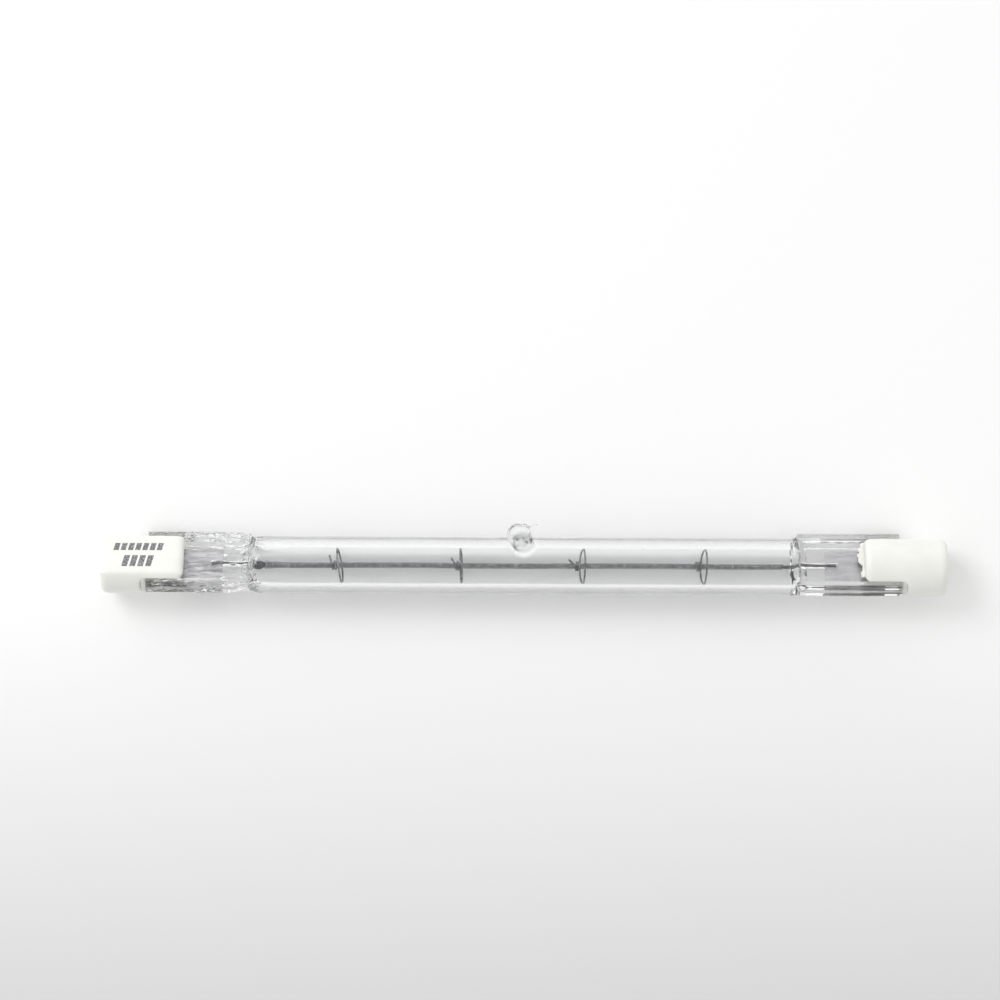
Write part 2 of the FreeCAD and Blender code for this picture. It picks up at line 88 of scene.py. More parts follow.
roll = restRoll()
toMetres = Matrix.Scale(millimetre, 4)
onFloor = Matrix.Translation((0, 0, lamp["axisHeight"]))
lampTurn = onFloor @ Matrix.Rotation(-roll, 4, "X")
endTurns = {
    "left": lampTurn @ Matrix.Rotation(math.pi, 4, "Y"),
    "right": lampTurn,
}


def smoothStep(low, high, value):
    share = min(max((value - low) / (high - low), 0.0), 1.0)
    return share * share * (3 - 2 * share)


def mix(first, second, share):
    return first + (second - first) * share


def newOnes(result, kind):
    return [item for item in result["geom"] if isinstance(item, kind)]


def newVerts(result):
    return newOnes(result, bmesh.types.BMVert)


def newEdges(result):
    return newOnes(result, bmesh.types.BMEdge)


def evaluated(holder):
    # The form of a helper object, with its bevel or modifiers
    mesh = bpy.data.meshes.new_from_object(holder.evaluated_get(bpy.context.evaluated_depsgraph_get()))
    bm = bmesh.new()
    bm.from_mesh(mesh)
    bpy.data.meshes.remove(mesh)
    return bm


def addPiece(name, bm, turn, material, node, sharpAngle=40):
    bm.transform(toMetres @ turn)
    mesh = bpy.data.meshes.new(name)
    bm.to_mesh(mesh)
    bm.free()
    mesh.materials.append(material)
    mesh.shade_smooth()
    mesh.set_sharp_from_angle(angle=math.radians(sharpAngle))
    piece = bpy.data.objects.new(name, mesh)
    scene.collection.objects.link(piece)
    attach(piece, "root")
    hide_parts(node)


# Node helpers


def addNode(tree, kind, **inputs):
    node = tree.nodes.new(kind)
    for name, value in inputs.items():
        node.inputs[name.replace("_", " ")].default_value = value
    return node


def newGroup(name, ins, outs):
    group = bpy.data.node_groups.new(name, "ShaderNodeTree")
    for way, socketNames in (("INPUT", ins), ("OUTPUT", outs)):
        for socketName in socketNames:
            kind = "NodeSocketVector" if socketName == "Vector" else "NodeSocketFloat"
            group.interface.new_socket(name=socketName, in_out=way, socket_type=kind)
    return group, group.nodes.new("NodeGroupInput"), group.nodes.new("NodeGroupOutput")


grainRoughness = 0.6


def makeGrainGroup():
    ins, outs = ["Vector", "Scale", "Low", "High", "Detail"], ["Mask", "Height"]
    group, entry, leave = newGroup("surfaceGrain", ins, outs)
    cloud = addNode(group, "ShaderNodeTexNoise", Roughness=grainRoughness)
    for name in ("Detail", "Vector", "Scale"):
        group.links.new(entry.outputs[name], cloud.inputs[name])
    spread = addNode(group, "ShaderNodeMapRange")
    spread.interpolation_type = "SMOOTHSTEP"
    group.links.new(cloud.outputs["Fac"], spread.inputs["Value"])
    group.links.new(entry.outputs["Low"], spread.inputs["From Min"])
    group.links.new(entry.outputs["High"], spread.inputs["From Max"])
    group.links.new(spread.outputs["Result"], leave.inputs["Mask"])
    group.links.new(cloud.outputs["Fac"], leave.inputs["Height"])
    return group


grainGroup = makeGrainGroup()


def newMaterial(name, **values):
    material = bpy.data.materials.new(name)
    material.use_nodes = True
    tree = material.node_tree
    shader = tree.nodes["Principled BSDF"]
    for socket, value in values.items():
        shader.inputs[socket.replace("_", " ")].default_value = value
    place = tree.nodes.new("ShaderNodeTexCoord")
    return material, tree, shader, place.outputs["Object"]


def stretched(tree, place, scale, turn=(0, 0, 0)):
    mapping = addNode(tree, "ShaderNodeMapping", Scale=scale, Rotation=turn)
    tree.links.new(place, mapping.inputs["Vector"])
    return mapping.outputs["Vector"]


def grain(tree, vector, scale, low=0.3, high=0.7, detail=6.0):
    node = tree.nodes.new("ShaderNodeGroup")
    node.node_tree = grainGroup
    for name, value in (("Scale", scale), ("Low", low), ("High", high), ("Detail", detail)):
        node.inputs[name].default_value = value
    tree.links.new(vector, node.inputs["Vector"])
    return node


def colourMix(tree, mask, first, second):
    blend = tree.nodes.new("ShaderNodeMix")
    blend.data_type = "RGBA"
    for socket, colour in (("A", first), ("B", second)):
        target = next(i for i in blend.inputs if i.name == socket and i.type == "RGBA")
        if isinstance(colour, bpy.types.NodeSocket):
            tree.links.new(colour, target)
        else:
            target.default_value = (*colour, 1.0)
    tree.links.new(mask, blend.inputs[0])
    return next(o for o in blend.outputs if o.type == "RGBA")


def ramp(tree, value, spread=(0.0, 1.0), result=(0.0, 1.0)):
    node = addNode(
        tree, "ShaderNodeMapRange", From_Min=spread[0], From_Max=spread[1], To_Min=result[0], To_Max=result[1])
    tree.links.new(value, node.inputs["Value"])
    return node.outputs["Result"]


def axes(tree, place):
    apart = tree.nodes.new("ShaderNodeSeparateXYZ")
    tree.links.new(place, apart.inputs["Vector"])
    return apart.outputs


def mathNode(tree, operation, first, second):
    node = tree.nodes.new("ShaderNodeMath")
    node.operation = operation
    for socket, value in zip(node.inputs, (first, second)):
        if isinstance(value, bpy.types.NodeSocket):
            tree.links.new(value, socket)
        else:
            socket.default_value = value
    return node.outputs["Value"]


def bumpFrom(tree, shader, height, strength, distance):
    bump = addNode(tree, "ShaderNodeBump", Strength=strength, Distance=distance)
    tree.links.new(height, bump.inputs["Height"])
    tree.links.new(bump.outputs["Normal"], shader.inputs["Normal"])


cap = {
    "radius": 4.0,
    "flat": 2.5,
    "round": 0.95,
    "flatRound": 0.5,
    "slotHalf": 1.4,
    "slotDepth": 6.0,
    "slotRound": 0.8,
    "recess": 2.0,
    "seat": 1.53,
    "segments": 72,
    "voxel": 0.11,
    "smoothing": 24,
    "flatRoundSteps": 4,
    "roundSteps": 7,
    "slotRoundSteps": 8,
}


# Finishes

quartzFinish = {
    "colour": (0.99, 0.995, 0.995),
    "ior": 1.458,
    "drawLines": 420,
    "drawStretch": (0.04, 1, 1),
    "waves": 0.003,
    "waveDepth": 0.00005,
    "crinkle": {"left": (-1, 1.0), "right": (1, 0.01)},  # side, and how rough the pressed glass came out
    "crinkleScale": 1300,
    "crinkleStretch": (0.4, 1, 1),
    "crinkleDepth": 0.0003,
    "crinkleFrom": (0.0362, 0.0388),
    "crazeFrom": (-0.0437, -0.0427),  # from here to the left shoulder the glass is crazed more
    "crazeGain": 1.4,
    "stubFrost": 0.4,  # smoke from the sealing flame on the broken stub
    "stubFrom": (0.00402, 0.0043),
    "stubClear": (0.0056, 0.0061),  # the standing rim is clear again
    "stubReach": 0.004,
}


def pressedNormal(tree, place, along):
    # Fine draw lines all along the tube, and crinkled glass at the pressed ends
    finish = quartzFinish
    lines = grain(tree, stretched(tree, place, finish["drawStretch"]), finish["drawLines"], detail=0.0)
    smooth = addNode(tree, "ShaderNodeBump", Strength=finish["waves"], Distance=finish["waveDepth"])
    tree.links.new(lines.outputs["Height"], smooth.inputs["Height"])
    near, far = finish["crinkleFrom"]
    ends = [
        ramp(tree, along, (sign * near, sign * far), (0.0, strength))
        for sign, strength in finish["crinkle"].values()
    ]
    crinkles = grain(tree, stretched(tree, place, finish["crinkleStretch"]), finish["crinkleScale"], detail=1.0)
    craze = ramp(tree, along, finish["crazeFrom"], (1.0, finish["crazeGain"]))
    rough = addNode(tree, "ShaderNodeBump", Distance=finish["crinkleDepth"])
    tree.links.new(mathNode(tree, "ADD", *ends), rough.inputs["Strength"])
    tree.links.new(mathNode(tree, "MULTIPLY", crinkles.outputs["Height"], craze), rough.inputs["Height"])
    tree.links.new(smooth.outputs["Normal"], rough.inputs["Normal"])
    return rough.outputs["Normal"]


def stubSmoke(tree, place, along):
    # Roughness of the stub, from the tube's skin out to the standing rim
    finish = quartzFinish
    drop = (0, 0, -lamp["axisHeight"] * millimetre)
    offAxis = addNode(tree, "ShaderNodeMapping", Scale=(0, 1, 1), Location=drop)
    tree.links.new(place, offAxis.inputs["Vector"])
    out = tree.nodes.new("ShaderNodeVectorMath")
    out.operation = "LENGTH"
    tree.links.new(offAxis.outputs["Vector"], out.inputs[0])
    frost = ramp(tree, out.outputs["Value"], finish["stubFrom"], (0.0, finish["stubFrost"]))
    clear = ramp(tree, out.outputs["Value"], finish["stubClear"], (1.0, 0.0))
    onStub = mathNode(tree, "LESS_THAN", mathNode(tree, "ABSOLUTE", along, 0), finish["stubReach"])
    return mathNode(tree, "MULTIPLY", mathNode(tree, "MULTIPLY", frost, clear), onStub)


def makeQuartz():
    material, tree, shader, place = newMaterial(
        "clearQuartz", Base_Color=(*quartzFinish["colour"], 1),
        IOR=quartzFinish["ior"], Transmission_Weight=1.0)
    along = axes(tree, place)["X"]
    tree.links.new(pressedNormal(tree, place, along), shader.inputs["Normal"])
    tree.links.new(stubSmoke(tree, place, along), shader.inputs["Roughness"])
    return material


metalFinish = {  # colours in and out of the streaks, their scale and how far they run along the wire
    "tungsten": {
        "dark": (0.12, 0.12, 0.124), "light": (0.32, 0.32, 0.325),
        "roughness": (0.12, 0.28), "scale": 2200, "stretch": (1, 1, 1),
    },
    "support": {
        "dark": (0.03, 0.03, 0.033), "light": (0.28, 0.28, 0.285),
        "roughness": (0.15, 0.35), "scale": 1800, "stretch": (1, 1, 1),
    },
    "lead": {
        "dark": (0.03, 0.03, 0.035), "light": (0.2, 0.19, 0.2),
        "roughness": (0.3, 0.55), "scale": 1500, "stretch": (0.3, 1, 1),
    },
    "foil": {
        "dark": (0.46, 0.455, 0.47), "light": (0.71, 0.705, 0.72),
        "roughness": (0.25, 0.5), "scale": 700, "stretch": (0.25, 1, 1),
    },
    "contact": {
        "dark": (0.42, 0.40, 0.37), "light": (0.72, 0.70, 0.66),
        "roughness": (0.25, 0.5), "scale": 1400, "stretch": (1, 1, 1),
    },
}
metalStreaks = {"spread": (0.35, 0.65), "bump": (0.25, 0.00002)}


def makeMetal(name):
    finish = metalFinish[name]
    material, tree, shader, place = newMaterial(name + "Metal", Metallic=1.0)
    streaks = grain(tree, stretched(tree, place, finish["stretch"]), finish["scale"], *metalStreaks["spread"])
    mask = streaks.outputs["Mask"]
    tree.links.new(colourMix(tree, mask, finish["dark"], finish["light"]), shader.inputs["Base Color"])
    tree.links.new(ramp(tree, mask, result=finish["roughness"]), shader.inputs["Roughness"])
    bumpFrom(tree, shader, streaks.outputs["Height"], *metalStreaks["bump"])
    return material


ceramicFinish = {
    "white": (0.89, 0.89, 0.85),
    "shade": (0.85, 0.85, 0.80),
    "roughness": (0.32, 0.5),
    "speckle": (0.72, 0.71, 0.64),
    "ink": (0.16, 0.16, 0.17),
    "cloudGrain": (260, 0.35, 0.7),  # scale, and where the mask starts and is full
    "speckleGrain": (2600, 0.70, 0.76),
    "wornGrain": (5000, 0.25, 0.5),
    "skinGrain": (1500, 0.3, 0.7),
    "bump": (0.12, 0.00005),
    "rows": [  # plain bars on the flat that faces up: first and last station, middle, half height, pitch
        (-56.9, -49.9, 1.2, 0.62, 1.0),
        (-55.6, -51.2, -1.25, 0.95, 1.1),
    ],
    "barShare": 0.72,
    "barLean": 0.2,
    "printDepth": 0.2,  # ink reaches this far below the flat
}


def makePrintGroup():
    # One row of leaning bars of a single size
    ins = ["Vector", "First", "Last", "Middle", "Half Height", "Pitch", "Share", "Lean"]
    group, entry, leave = newGroup("printedBars", ins, ["Mask"])
    given = entry.outputs
    apart = axes(group, given["Vector"])
    off = mathNode(group, "SUBTRACT", apart["Y"], given["Middle"])
    leaning = mathNode(group, "MULTIPLY", off, given["Lean"])
    along = mathNode(group, "SUBTRACT", apart["X"], leaning)
    passed = mathNode(group, "SUBTRACT", along, given["First"])
    bars = mathNode(group, "FRACT", mathNode(group, "DIVIDE", passed, given["Pitch"]), 0)
    tests = [
        mathNode(group, "LESS_THAN", mathNode(group, "ABSOLUTE", off, 0), given["Half Height"]),
        mathNode(group, "GREATER_THAN", along, given["First"]),
        mathNode(group, "LESS_THAN", along, given["Last"]),
        mathNode(group, "LESS_THAN", bars, given["Share"]),
        mathNode(group, "GREATER_THAN", apart["Z"], cap["flat"] - ceramicFinish["printDepth"]),
    ]
    mask = tests[0]
    for test in tests[1:]:
        mask = mathNode(group, "MULTIPLY", mask, test)
    group.links.new(mask, leave.inputs["Mask"])
    return group


def printMask(tree, place):
    group = makePrintGroup()
    height = lamp["axisHeight"]
    toFlat = addNode(
        tree, "ShaderNodeMapping", Scale=(1 / millimetre,) * 3, Rotation=(roll, 0, 0),
        Location=(0, height * math.sin(roll), -height * math.cos(roll)))
    tree.links.new(place, toFlat.inputs["Vector"])
    mask = None
    for first, last, middle, halfHeight, pitch in ceramicFinish["rows"]:
        row = tree.nodes.new("ShaderNodeGroup")
        row.node_tree = group
        values = (first, last, middle, halfHeight, pitch, ceramicFinish["barShare"], ceramicFinish["barLean"])
        for socket, value in zip(row.inputs[1:], values):
            socket.default_value = value
        tree.links.new(toFlat.outputs["Vector"], row.inputs["Vector"])
        mask = mathNode(tree, "MAXIMUM", mask, row.outputs["Mask"]) if mask else row.outputs["Mask"]
    return mask


def makeCeramic():
    material, tree, shader, place = newMaterial("pressedCeramic", Specular_IOR_Level=0.45)
    finish = ceramicFinish
    cloud = grain(tree, place, *finish["cloudGrain"])
    body = colourMix(tree, cloud.outputs["Mask"], finish["white"], finish["shade"])
    dots = grain(tree, place, *finish["speckleGrain"])
    body = colourMix(tree, dots.outputs["Mask"], body, finish["speckle"])
    worn = grain(tree, place, *finish["wornGrain"])
    inked = mathNode(tree, "MULTIPLY", printMask(tree, place), worn.outputs["Mask"])
    body = colourMix(tree, inked, body, finish["ink"])
    tree.links.new(body, shader.inputs["Base Color"])
    skin = grain(tree, place, *finish["skinGrain"])
    tree.links.new(ramp(tree, skin.outputs["Mask"], result=finish["roughness"]), shader.inputs["Roughness"])
    bumpFrom(tree, shader, skin.outputs["Height"], *finish["bump"])
    return material


cementFinish = {
    "white": (0.93, 0.925, 0.89),
    "shade": (0.80, 0.79, 0.74),
    "roughness": (0.7, 0.95),
    "gritGrain": (3200, 0.35, 0.68),
    "bump": (0.5, 0.00008),
}


def makeCementFinish():
    material, tree, shader, place = newMaterial("grainyCement", Specular_IOR_Level=0.3)
    finish = cementFinish
    grit = grain(tree, place, *finish["gritGrain"])
    mask = grit.outputs["Mask"]
    tree.links.new(colourMix(tree, mask, finish["shade"], finish["white"]), shader.inputs["Base Color"])
    tree.links.new(ramp(tree, mask, result=finish["roughness"]), shader.inputs["Roughness"])
    bumpFrom(tree, shader, grit.outputs["Height"], *finish["bump"])
    return material


quartz = makeQuartz()
metals = {name: makeMetal(name) for name in metalFinish}
ceramic = makeCeramic()
cementWhite = makeCementFinish()
print("finishes made:", len(bpy.data.materials))

# Quartz envelope: one skin from seal to seal, the cavity inside it and the sealed-off stub

envelope = {
    "shoulderLength": 1.2,
    "hollowRun": 1.1,  # length over which the hollows of a seal deepen
    "sideAngle": 19,  # share of the round tube that each side of the seal is drawn from
    "cornerAngle": 26,
    "ridgeAngle": 45,
    "slopeAngle": 52,
    "slopeHalf": 0.15,
    "steps": {"side": 5, "corner": 4, "ridge": 6, "slope": 4, "web": 15},
    "flow": {"left": 0.42, "right": 0.07},  # how far the pressed glass flowed unevenly
    "flowLead": 1.0,  # starts this far before the shoulder
    "flowCalm": (3.0, 0.45),  # past this length of the seal only this share of it is left
    "wave": (1.1, 0.8),  # along and across
    "ripple": (2.9, 2.2),
    "rippleSeed": 40,
    "rippleShare": 0.5,
    "tipStep": 0.2,  # rings of the skin: close by the stub, few along the tube, close again at the ends
    "tipSteps": 15,
    "tubeStations": (4.5, 8.0, 16.0, 24.0, 30.0, 34.0),
    "tubeLead": 0.8,
    "shoulderLead": 0.4,
    "shoulderSteps": 20,
    "pressStep": 0.15,
    "pressSteps": 12,
    "sealFrom": 2.1,
    "sealSteps": 34,
}
quarterSteps = sum(envelope["steps"].values())
ringCount = 4 * quarterSteps
sealStart = lamp["pinchEnd"] - seal["length"]
shoulderStart = sealStart - envelope["shoulderLength"]


def quarterPoint(step, depth):
    # One quarter of the seal's section, from its edge to the middle of its hollow face
    counts = envelope["steps"]
    half, ridge, rounding = seal["halfWidth"], seal["ridgeHalf"], seal["cornerRound"]
    floorHeight = mix(ridge, seal["webHalf"], depth)
    inner, slope = seal["hollowHalf"], envelope["slopeHalf"]
    stops = [0, *(envelope[name + "Angle"] for name in ("side", "corner", "ridge", "slope")), 90]
    for part, (name, count) in enumerate(counts.items()):
        if step <= count:
            break
        step -= count
    share = step / count
    angle = math.radians(mix(stops[part], stops[part + 1], share))
    if name == "side":
        return angle, half, (ridge - rounding) * share
    if name == "corner":
        turn = share * math.pi / 2
        return angle, half - rounding + rounding * math.cos(turn), ridge - rounding + rounding * math.sin(turn)
    if name == "ridge":
        return angle, mix(half - rounding, inner + slope, share), ridge
    if name == "slope":
        return angle, mix(inner + slope, inner - slope, share), mix(ridge, floorHeight, smoothStep(0, 1, share))
    return angle, mix(inner - slope, 0, share), floorHeight


def skinPoint(station, index):
    quarter, step = divmod(index, quarterSteps)
    if quarter % 2:
        step = quarterSteps - step
    reach = abs(station)
    pressed = smoothStep(shoulderStart, sealStart, reach)
    depth = smoothStep(sealStart, sealStart + envelope["hollowRun"], reach)
    angle, across, out = quarterPoint(step, depth)
    radius = lamp["axisHeight"]
    y = mix(radius * math.cos(angle), across, pressed) * (1 if quarter in (0, 3) else -1)
    y += seal["shift"] * pressed
    z = mix(radius * math.sin(angle), out, pressed) * (1 if quarter < 2 else -1)
    return flowed(Vector((station, y, z)), reach)


def flowed(point, reach):
    side = "left" if point.x < 0 else "right"
    calmRun, calmShare = envelope["flowCalm"]
    started = smoothStep(shoulderStart - envelope["flowLead"], sealStart, reach)
    near = started * mix(1, calmShare, smoothStep(sealStart, sealStart + calmRun, reach))
    if near == 0:
        return point
    wave = flowNoise(point, *envelope["wave"], 0)
    ripple = flowNoise(point, *envelope["ripple"], envelope["rippleSeed"])
    sink = envelope["flow"][side] * near * (wave + envelope["rippleShare"] * ripple)
    radial = Vector((0, point.y, point.z))
    return point - radial.normalized() * sink


def flowNoise(point, along, across, seed):
    return 0.5 + 0.5 * noise.noise(Vector((point.x * along + seed, point.y * across, point.z * across)))


def stationsAlong():
    tipSteps, shoulderSteps, sealSteps = (envelope[name + "Steps"] for name in ("tip", "shoulder", "seal"))
    shoulderFrom = shoulderStart - envelope["shoulderLead"]
    sealFrom = sealStart + envelope["sealFrom"]
    tipZone = [envelope["tipStep"] * step for step in range(-tipSteps, tipSteps + 1)]
    tube = [*envelope["tubeStations"], shoulderStart - envelope["tubeLead"]]
    shoulder = [mix(shoulderFrom, sealStart, step / shoulderSteps) for step in range(shoulderSteps + 1)]
    press = [sealStart + envelope["pressStep"] * (step + 1) for step in range(envelope["pressSteps"])]
    rest = [mix(sealFrom, lamp["pinchEnd"], step / sealSteps) for step in range(sealSteps + 1)]
    right = tube + shoulder + press + rest
    return [-x for x in reversed(right)] + tipZone + right


tip = {
    "lean": 8,  # degrees from the seals' flat faces
    "patch": 1.9,  # half of the square of skin that the stub grows from
    "rings": [  # radius, height over the axis
        (1.72, 4.10), (1.55, 4.28), (1.45, 4.5), (1.4, 4.75), (1.4, 5.0), (1.42, 5.2),  # neck
        (1.56, 5.36), (1.76, 5.5), (1.9, 5.66), (1.94, 5.9), (1.92, 6.12), (1.84, 6.32),  # head
        (1.72, 6.44), (1.6, 6.47), (1.48, 6.4), (1.36, 6.24), (1.24, 6.05),  # rim
        (1.08, 5.92), (0.85, 5.86), (0.6, 5.84), (0.35, 5.84), (0.12, 5.84),  # floor of the cup
    ],
    "opening": {"from": 0.8, "fade": 2.0, "to": 2.2},  # shares of its half width over which it turns round
    "footRings": 4,  # these follow the tube before the rings lie level
    "footRise": 0.8,
    "headRings": (5, 9),
    "floorRings": (14, 20),
    "raggedRings": {"in": (6, 11), "out": (15, 18)},
    "ragged": 0.22,  # unevenness of the broken rim
    "raggedScale": (2.2, 0.12),  # round the rim and from ring to ring
    "raggedSeed": 3.1,
    "raggedOut": 0.35,
    "raggedLow": 0.15,  # share of it that the low side has
    "scoop": {"side": -125, "low": 0.06, "high": 1.05, "floor": 0.34},  # this side of the cup was left standing
    "standing": (0.15, 0.75),
    "breakFoot": 4.3,  # the slanting break starts at this height
    "lowSide": 0.28,  # share of its width that the head loses on its low side
    "aside": (-0.14, -0.5),  # neck and head stand off the middle
    "shard": {
        "turn": -38, "spread": 16, "depth": 0.2, "shrink": 0.68,
        "rise": (0.36, 0.4, 0.3), "out": (0.38, 0.46, 0.4),
        "front": 0.45,  # lean for each step of rise
    },
}
tipAngle = math.radians(90 - tip["lean"])
tipUp = Vector((0, math.cos(tipAngle), math.sin(tipAngle)))
tipSide = Vector((0, -math.sin(tipAngle), math.cos(tipAngle)))


def skinPlace(along, arc):
    radius = lamp["axisHeight"]
    angle = tipAngle + arc / radius
    return Vector((along, radius * math.cos(angle), radius * math.sin(angle)))


def patchPlace(vert):
    angle = math.atan2(vert.co.z, vert.co.y)
    return vert.co.x, (angle - tipAngle) * lamp["axisHeight"]


def openSkin(bm):
    # Cuts the stub's place out of the skin and turns the square opening round
    half = tip["patch"]
    patch = []
    for face in bm.faces:
        middle = face.calc_center_median()
        angle = math.atan2(middle.z, middle.y)
        if abs(middle.x) < half and abs(angle - tipAngle) * lamp["axisHeight"] < half:
            patch.append(face)
    bmesh.ops.delete(bm, geom=patch, context="FACES")
    rim = [edge for edge in bm.edges if edge.is_boundary and abs(edge.verts[0].co.x) < half * 2]
    rimVerts = {vert for edge in rim for vert in edge.verts}
    edgeReach = max(max(abs(part) for part in patchPlace(vert)) for vert in rimVerts)
    first, fade, last = (edgeReach * share for share in tip["opening"].values())
    for vert in bm.verts:
        along, arc = patchPlace(vert)
        square = max(abs(along), abs(arc))
        if first < square < last and vert.co.dot(tipUp) > 0:
            share = 1 - smoothStep(edgeReach, fade, square)
            factor = mix(1, square / math.hypot(along, arc), share)
            vert.co = skinPlace(along * factor, arc * factor)
    clock = bm.verts.layers.float["clock"]
    for vert in rimVerts:
        along, arc = patchPlace(vert)
        vert[clock] = math.atan2(arc, along)
    return rim


def tipPoint(turn, number, radius, height):
    scoop, foot = tip["scoop"], tip["breakFoot"]
    footHeight = tip["rings"][0][1]
    level = smoothStep(0, tip["footRings"], number + 1)
    head = smoothStep(*tip["headRings"], number)
    toSide = smoothStep(*tip["standing"], 0.5 + 0.5 * math.cos(turn - math.radians(scoop["side"])))
    tall = mix(mix(scoop["low"], scoop["high"], toSide), scoop["floor"], smoothStep(*tip["floorRings"], number))
    ragged = raggedRim(turn, number) * mix(tip["raggedLow"], 1, toSide)
    lifted = foot + (height - foot) * tall if height > foot else height
    reach = radius * (1 - tip["lowSide"] * head * (1 - toSide)) + ragged * tip["raggedOut"]
    across = reach * math.sin(turn)
    onTube = math.sqrt(lamp["axisHeight"] ** 2 - across ** 2)
    up = mix(onTube + (height - footHeight) * tip["footRise"], lifted + ragged, level)
    along = reach * math.cos(turn) + mix(level * tip["aside"][0], tip["aside"][1], head)
    return Vector((along, 0, 0)) + tipSide * across + tipUp * up


def raggedRim(turn, number):
    rings = tip["raggedRings"]
    scale, step = tip["raggedScale"]
    near = smoothStep(*rings["in"], number) * (1 - smoothStep(*rings["out"], number))
    place = Vector((scale * math.cos(turn) + tip["raggedSeed"], scale * math.sin(turn), step * number))
    return tip["ragged"] * near * noise.noise(place)


def growTip(bm):
    edges = openSkin(bm)
    clock = bm.verts.layers.float["clock"]
    for number, (radius, height) in enumerate(tip["rings"]):
        result = bmesh.ops.extrude_edge_only(bm, edges=edges)
        edges = newEdges(result)
        for vert in newVerts(result):
            vert.co = tipPoint(vert[clock], number, radius, height)
    bmesh.ops.contextual_create(bm, geom=edges)


def growShard(bm):
    shard = tip["shard"]
    near = []
    for face in bm.faces:
        middle = face.calc_center_median()
        along = middle.x - tip["aside"][1]
        spread = math.degrees(math.atan2(middle.dot(tipSide), along))
        if middle.dot(tipUp) > tip["breakFoot"] and abs(spread - shard["turn"]) < shard["spread"]:
            near.append((middle.dot(tipUp), face))
    rim = max(level for level, face in near)
    faces = [face for level, face in near if level > rim - shard["depth"]]
    for rise, out in zip(shard["rise"], shard["out"]):
        result = bmesh.ops.extrude_face_region(bm, geom=faces)
        bmesh.ops.delete(bm, geom=faces, context="FACES")
        verts = newVerts(result)
        faces = newOnes(result, bmesh.types.BMFace)
        middle = sum((vert.co for vert in verts), Vector()) / len(verts)
        step = (tipUp + tipSide * shard["front"]) * rise + Vector((out, 0, 0))
        bmesh.ops.translate(bm, verts=verts, vec=step)
        middle += step
        bmesh.ops.scale(bm, verts=verts, vec=(shard["shrink"],) * 3, space=Matrix.Translation(-middle))


def makeSkin():
    bm = bmesh.new()
    bm.verts.layers.float.new("clock")
    ringIndex = bm.verts.layers.int.new("ringIndex")
    stations = stationsAlong()
    ring = []
    for index in range(ringCount):
        vert = bm.verts.new(skinPoint(stations[0], index))
        vert[ringIndex] = index
        ring.append(vert)
    edges = [bm.edges.new((vert, ring[(index + 1) % ringCount])) for index, vert in enumerate(ring)]
    bmesh.ops.contextual_create(bm, geom=edges)
    for station in stations[1:]:
        result = bmesh.ops.extrude_edge_only(bm, edges=edges)
        edges = newEdges(result)
        for vert in newVerts(result):
            vert.co = skinPoint(station, vert[ringIndex])
    bmesh.ops.contextual_create(bm, geom=edges)
    growTip(bm)
    growShard(bm)
    bmesh.ops.remove_doubles(bm, verts=bm.verts, dist=mergeGap)
    bmesh.ops.recalc_face_normals(bm, faces=bm.faces)
    return bm


cavity = {
    "radius": 2.55,
    "segments": 96,
    "end": [  # along the shoulder, half width across the seal, half height: it closes like a bill
        (-1.2, 2.55, 2.55), (-0.6, 2.55, 2.55), (0.0, 2.55, 2.5), (0.3, 2.54, 2.3),
        (0.5, 2.5, 1.95), (0.7, 2.44, 1.5), (0.85, 2.32, 1.15), (0.97, 2.1, 0.88),
        (1.05, 1.8, 0.68), (1.1, 1.4, 0.56), (1.14, 0.95, 0.49),
    ],
    "tubeStations": (0.0, 12.0, 24.0, 33.0),
    "channelRadius": 0.45,
    "channelGap": 0.1,
    "channelEnd": 43.6,
    "channelSteps": 23,
    "wobble": 0.05,
    "crumple": {"left": 0.4, "right": 0.04},
    "waveScale": (2.1, 2.9),  # along and round
    "closing": (-1.4, 0.4),  # along the shoulder: lumps from here to here
    "channelFrom": (0.9, 1.2),
}


def cavityProfile():
    # Stations, half widths and half heights from the middle of the lamp to the end of a lead's channel
    profile = [(station, cavity["radius"], cavity["radius"]) for station in cavity["tubeStations"]]
    profile += [(shoulderStart + along, across, out) for along, across, out in cavity["end"]]
    start = profile[-1][0] + cavity["channelGap"]
    for step in range(cavity["channelSteps"] + 1):
        station = mix(start, cavity["channelEnd"], step / cavity["channelSteps"])
        profile.append((station, cavity["channelRadius"], cavity["channelRadius"]))
    return profile


def cavityWave(station, angle):
    # Unevenness of the wall: none in the tube, lumps where it closes, a light wobble in the channel
    reach = abs(station)
    along, about = cavity["waveScale"]
    place = Vector((station * along, about * math.cos(angle), about * math.sin(angle)))
    lumps = cavity["crumple"]["left" if station < 0 else "right"]
    closing = smoothStep(*(shoulderStart + stop for stop in cavity["closing"]), reach)
    channel = smoothStep(*(shoulderStart + stop for stop in cavity["channelFrom"]), reach)
    return noise.noise(place) * mix(lumps * closing, cavity["wobble"], channel)


